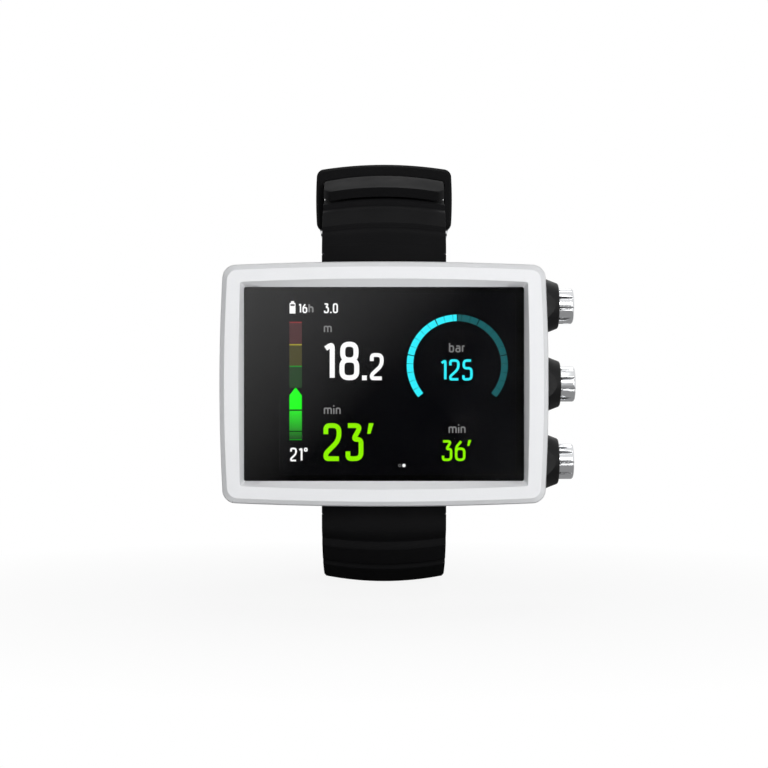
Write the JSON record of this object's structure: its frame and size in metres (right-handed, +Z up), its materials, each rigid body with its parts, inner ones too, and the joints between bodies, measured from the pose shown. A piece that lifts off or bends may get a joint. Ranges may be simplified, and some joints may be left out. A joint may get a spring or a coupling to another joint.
{
  "type": "dive computer",
  "caption": "Forearm dive computer: wide cased colour display behind a pale bezel, fluted steel side buttons and a buckled silicone strap closed in a loop.",
  "frame": {"origin": "centre of the rear cover's outer face, the face that lies on the forearm", "axes": "+Y out of the back of the case towards the forearm, so the display faces -Y; +Z up as the display is read; +X towards the side buttons"},
  "size_m": [0.1042, 0.1127, 0.1322],
  "materials": {
    "bezel": "matte, moulded",
    "glass": "polished",
    "seal": "matte",
    "display": "gloss",
    "housing": "fine moulded texture",
    "steel": "satin",
    "brass": "satin",
    "contacts": "plated",
    "bracket": "matte",
    "board": "solder mask",
    "chips": "matte",
    "battery": "foil",
    "strap": "matte silicone",
    "buckle": "bead blasted",
    "button": "polished steel"
  },
  "bodies": {
    "case": {"bezel": "bezel", "cover_glass": "glass", "glass_seal": "seal", "display_panel": "display", "housing": "housing", "rear_cover": "housing", "rear_seal": "seal", "rear_cover_screws": "steel", "pressure_sensor": "steel", "sensor_cover": "steel", "buzzer": "brass", "charge_contacts": "contacts", "display_bracket": "bracket", "main_board": "board", "board_components": "chips", "battery_tray": "bracket", "battery": "battery", "switch_board": "board", "button_switches": "chips", "button_guides": "steel", "strap_upper": "strap", "strap_lower": "strap", "lug_pin_upper": "steel", "lug_pin_lower": "steel", "lug_screws": "steel", "buckle_bar": "steel"},
    "button_top": {"button_cap_top": "button", "button_stem_top": "steel", "button_seal_top": "seal", "button_clip_top": "steel", "button_spring_top": "steel"},
    "button_middle": {"button_cap_middle": "button", "button_stem_middle": "steel", "button_seal_middle": "seal", "button_clip_middle": "steel", "button_spring_middle": "steel"},
    "button_bottom": {"button_cap_bottom": "button", "button_stem_bottom": "steel", "button_seal_bottom": "seal", "button_clip_bottom": "steel", "button_spring_bottom": "steel"},
    "keeper": {"keeper": "strap"},
    "buckle_frame": {"buckle_frame": "buckle"},
    "buckle_tang": {"buckle_tang": "buckle"}
  },
  "joints": [
    {"name": "button_top_press", "type": "slide", "parent": "case", "child": "button_top", "axis": [-1, 0, 0], "range_m": [0, 0.001], "stiffness_N_per_m": 1200, "springref_m": -0.001, "deforming": ["button_spring_top"]},
    {"name": "button_middle_press", "type": "slide", "parent": "case", "child": "button_middle", "axis": [-1, 0, 0], "range_m": [0, 0.001], "stiffness_N_per_m": 1200, "springref_m": -0.001, "deforming": ["button_spring_middle"]},
    {"name": "button_bottom_press", "type": "slide", "parent": "case", "child": "button_bottom", "axis": [-1, 0, 0], "range_m": [0, 0.001], "stiffness_N_per_m": 1200, "springref_m": -0.001, "deforming": ["button_spring_bottom"]},
    {"name": "keeper_slide", "type": "slide", "parent": "case", "child": "keeper", "axis": [0, 1, 0], "range_m": [-0.003, 0.003]},
    {"name": "buckle_frame_swing", "type": "hinge", "parent": "case", "child": "buckle_frame", "pos_m": [0, 0.06624, 0.05388], "axis": [1, 0, 0], "range_deg": [0, 8]},
    {"name": "buckle_tang_lift", "type": "hinge", "parent": "buckle_frame", "child": "buckle_tang", "pos_m": [0, 0.06624, 0.05388], "axis": [1, 0, 0], "range_deg": [0, 8]}
  ]
}
